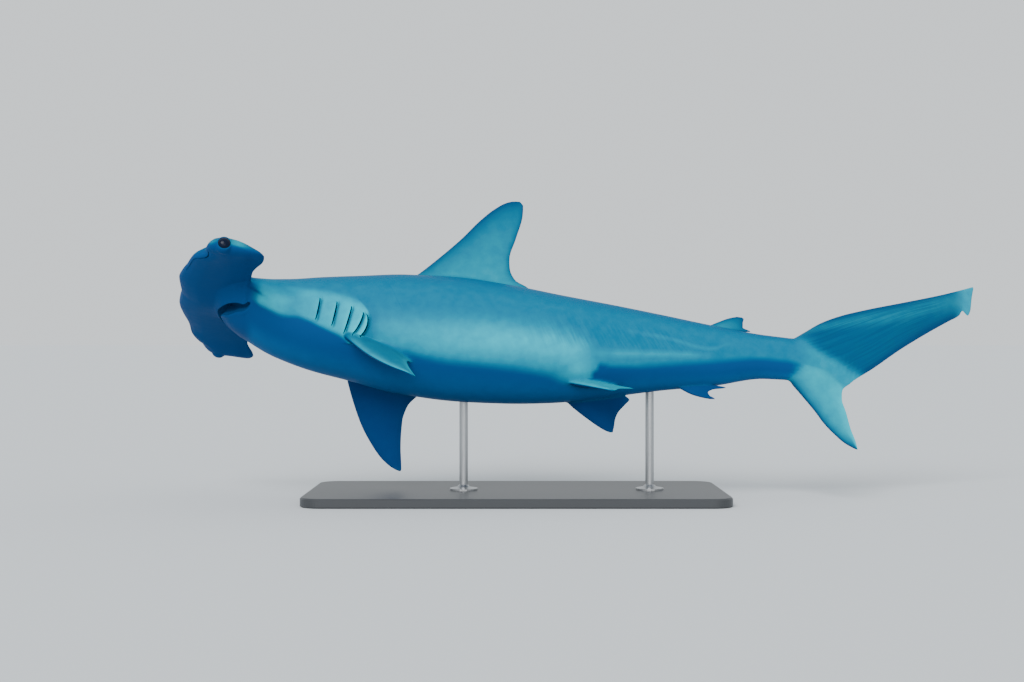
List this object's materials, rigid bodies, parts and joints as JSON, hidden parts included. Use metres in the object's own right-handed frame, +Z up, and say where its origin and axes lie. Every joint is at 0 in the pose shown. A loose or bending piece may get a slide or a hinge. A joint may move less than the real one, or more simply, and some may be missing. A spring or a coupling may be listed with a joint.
{
  "type": "scalloped hammerhead shark model",
  "caption": "Life-size hammerhead shark, banked in a swimming pose with its tail swept aside, held over a flat base by short rods.",
  "frame": {"origin": "middle of the underside of the stand's base", "axes": "+X from the head to the tail, +Y to the animal's right, +Z up; the belly is banked toward -Y"},
  "size_m": [2.5076, 0.7441, 0.9159],
  "materials": {
    "skin": "smooth, slightly satin skin, darker on the back and paler below",
    "eye": "wet gloss",
    "stand_base": "satin black powder coat",
    "stand_rod": "brushed"
  },
  "bodies": {
    "root": {"head": "skin", "eye_left": "eye", "eye_right": "eye", "neck": "skin", "torso_front": "skin", "torso_rear": "skin", "tail_stalk": "skin", "caudal_fin_upper": "skin", "caudal_fin_lower": "skin", "first_dorsal_fin": "skin", "second_dorsal_fin": "skin", "anal_fin": "skin", "pectoral_fin_left": "skin", "pectoral_fin_right": "skin", "pelvic_fin_left": "skin", "pelvic_fin_right": "skin", "stand_base": "stand_base", "stand_rod_front": "stand_rod", "stand_rod_rear": "stand_rod"}
  },
  "joints": []
}
